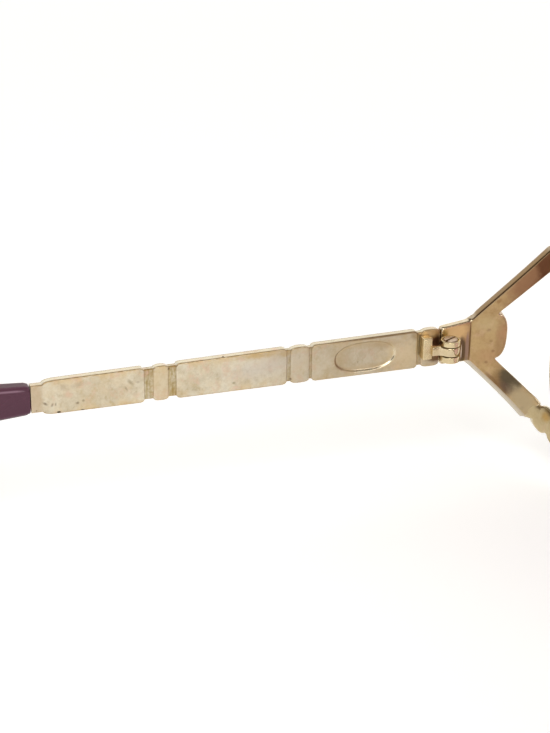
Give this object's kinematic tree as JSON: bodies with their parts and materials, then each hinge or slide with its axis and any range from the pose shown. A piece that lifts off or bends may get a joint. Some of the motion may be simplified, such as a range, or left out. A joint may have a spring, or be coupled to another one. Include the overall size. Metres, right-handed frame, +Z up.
{
  "type": "sunglasses",
  "caption": "Gold-coloured metal sunglasses with forked beaded endpieces, beaded strip temples and plum plastic temple tips, standing open.",
  "frame": {"origin": "centre of the bounding box in plan, on the surface that the rims and the temple tips stand on", "axes": "+Z up, -Y the way the wearer looks, +Y along the open temples, +X the wearer's left"},
  "size_m": [0.149, 0.1621, 0.0528],
  "materials": {
    "gold": "satin gold plating, lightly tarnished",
    "hinge_gold": "polished gold plating",
    "screw_metal": "pale gold plated steel",
    "plum_acetate": "glossy plum cellulose acetate",
    "pad_silicone": "milky translucent silicone",
    "tinted_lens": "plum gradient tint"
  },
  "bodies": {
    "front": {"rim_left": "gold", "rim_right": "gold", "lens_left": "tinted_lens", "lens_right": "tinted_lens", "closing_screw_left": "screw_metal", "closing_screw_right": "screw_metal", "endpiece_left": "gold", "endpiece_right": "gold", "front_hinge_left": "hinge_gold", "front_hinge_right": "hinge_gold", "hinge_screw_left": "screw_metal", "hinge_screw_right": "screw_metal", "pad_arm_left": "gold", "pad_arm_right": "gold", "pad_screw_left": "screw_metal", "pad_screw_right": "screw_metal", "bridge": "gold", "brow_bar": "gold"},
    "temple_left": {"temple_blade_left": "gold", "temple_hinge_left": "hinge_gold", "temple_tip_left": "plum_acetate"},
    "temple_right": {"temple_blade_right": "gold", "temple_hinge_right": "hinge_gold", "temple_tip_right": "plum_acetate"},
    "pad_left": {"nose_pad_left": "pad_silicone"},
    "pad_right": {"nose_pad_right": "pad_silicone"}
  },
  "joints": [
    {"name": "temple_fold_left", "type": "hinge", "parent": "front", "child": "temple_left", "pos_m": [0.06948, -0.05233, 0.02427], "axis": [0, 0, 1], "range_deg": [0, 93]},
    {"name": "temple_fold_right", "type": "hinge", "parent": "front", "child": "temple_right", "pos_m": [-0.06948, -0.05233, 0.02427], "axis": [0, 0, -1], "range_deg": [0, 84]},
    {"name": "pad_rock_left", "type": "hinge", "parent": "front", "child": "pad_left", "pos_m": [0.01074, -0.07096, 0.021], "axis": [0.4663, 0.877, 0.1163], "range_deg": [-8, 8]},
    {"name": "pad_rock_right", "type": "hinge", "parent": "front", "child": "pad_right", "pos_m": [-0.01074, -0.07096, 0.021], "axis": [0.4663, -0.877, -0.1163], "range_deg": [-8, 8]}
  ]
}
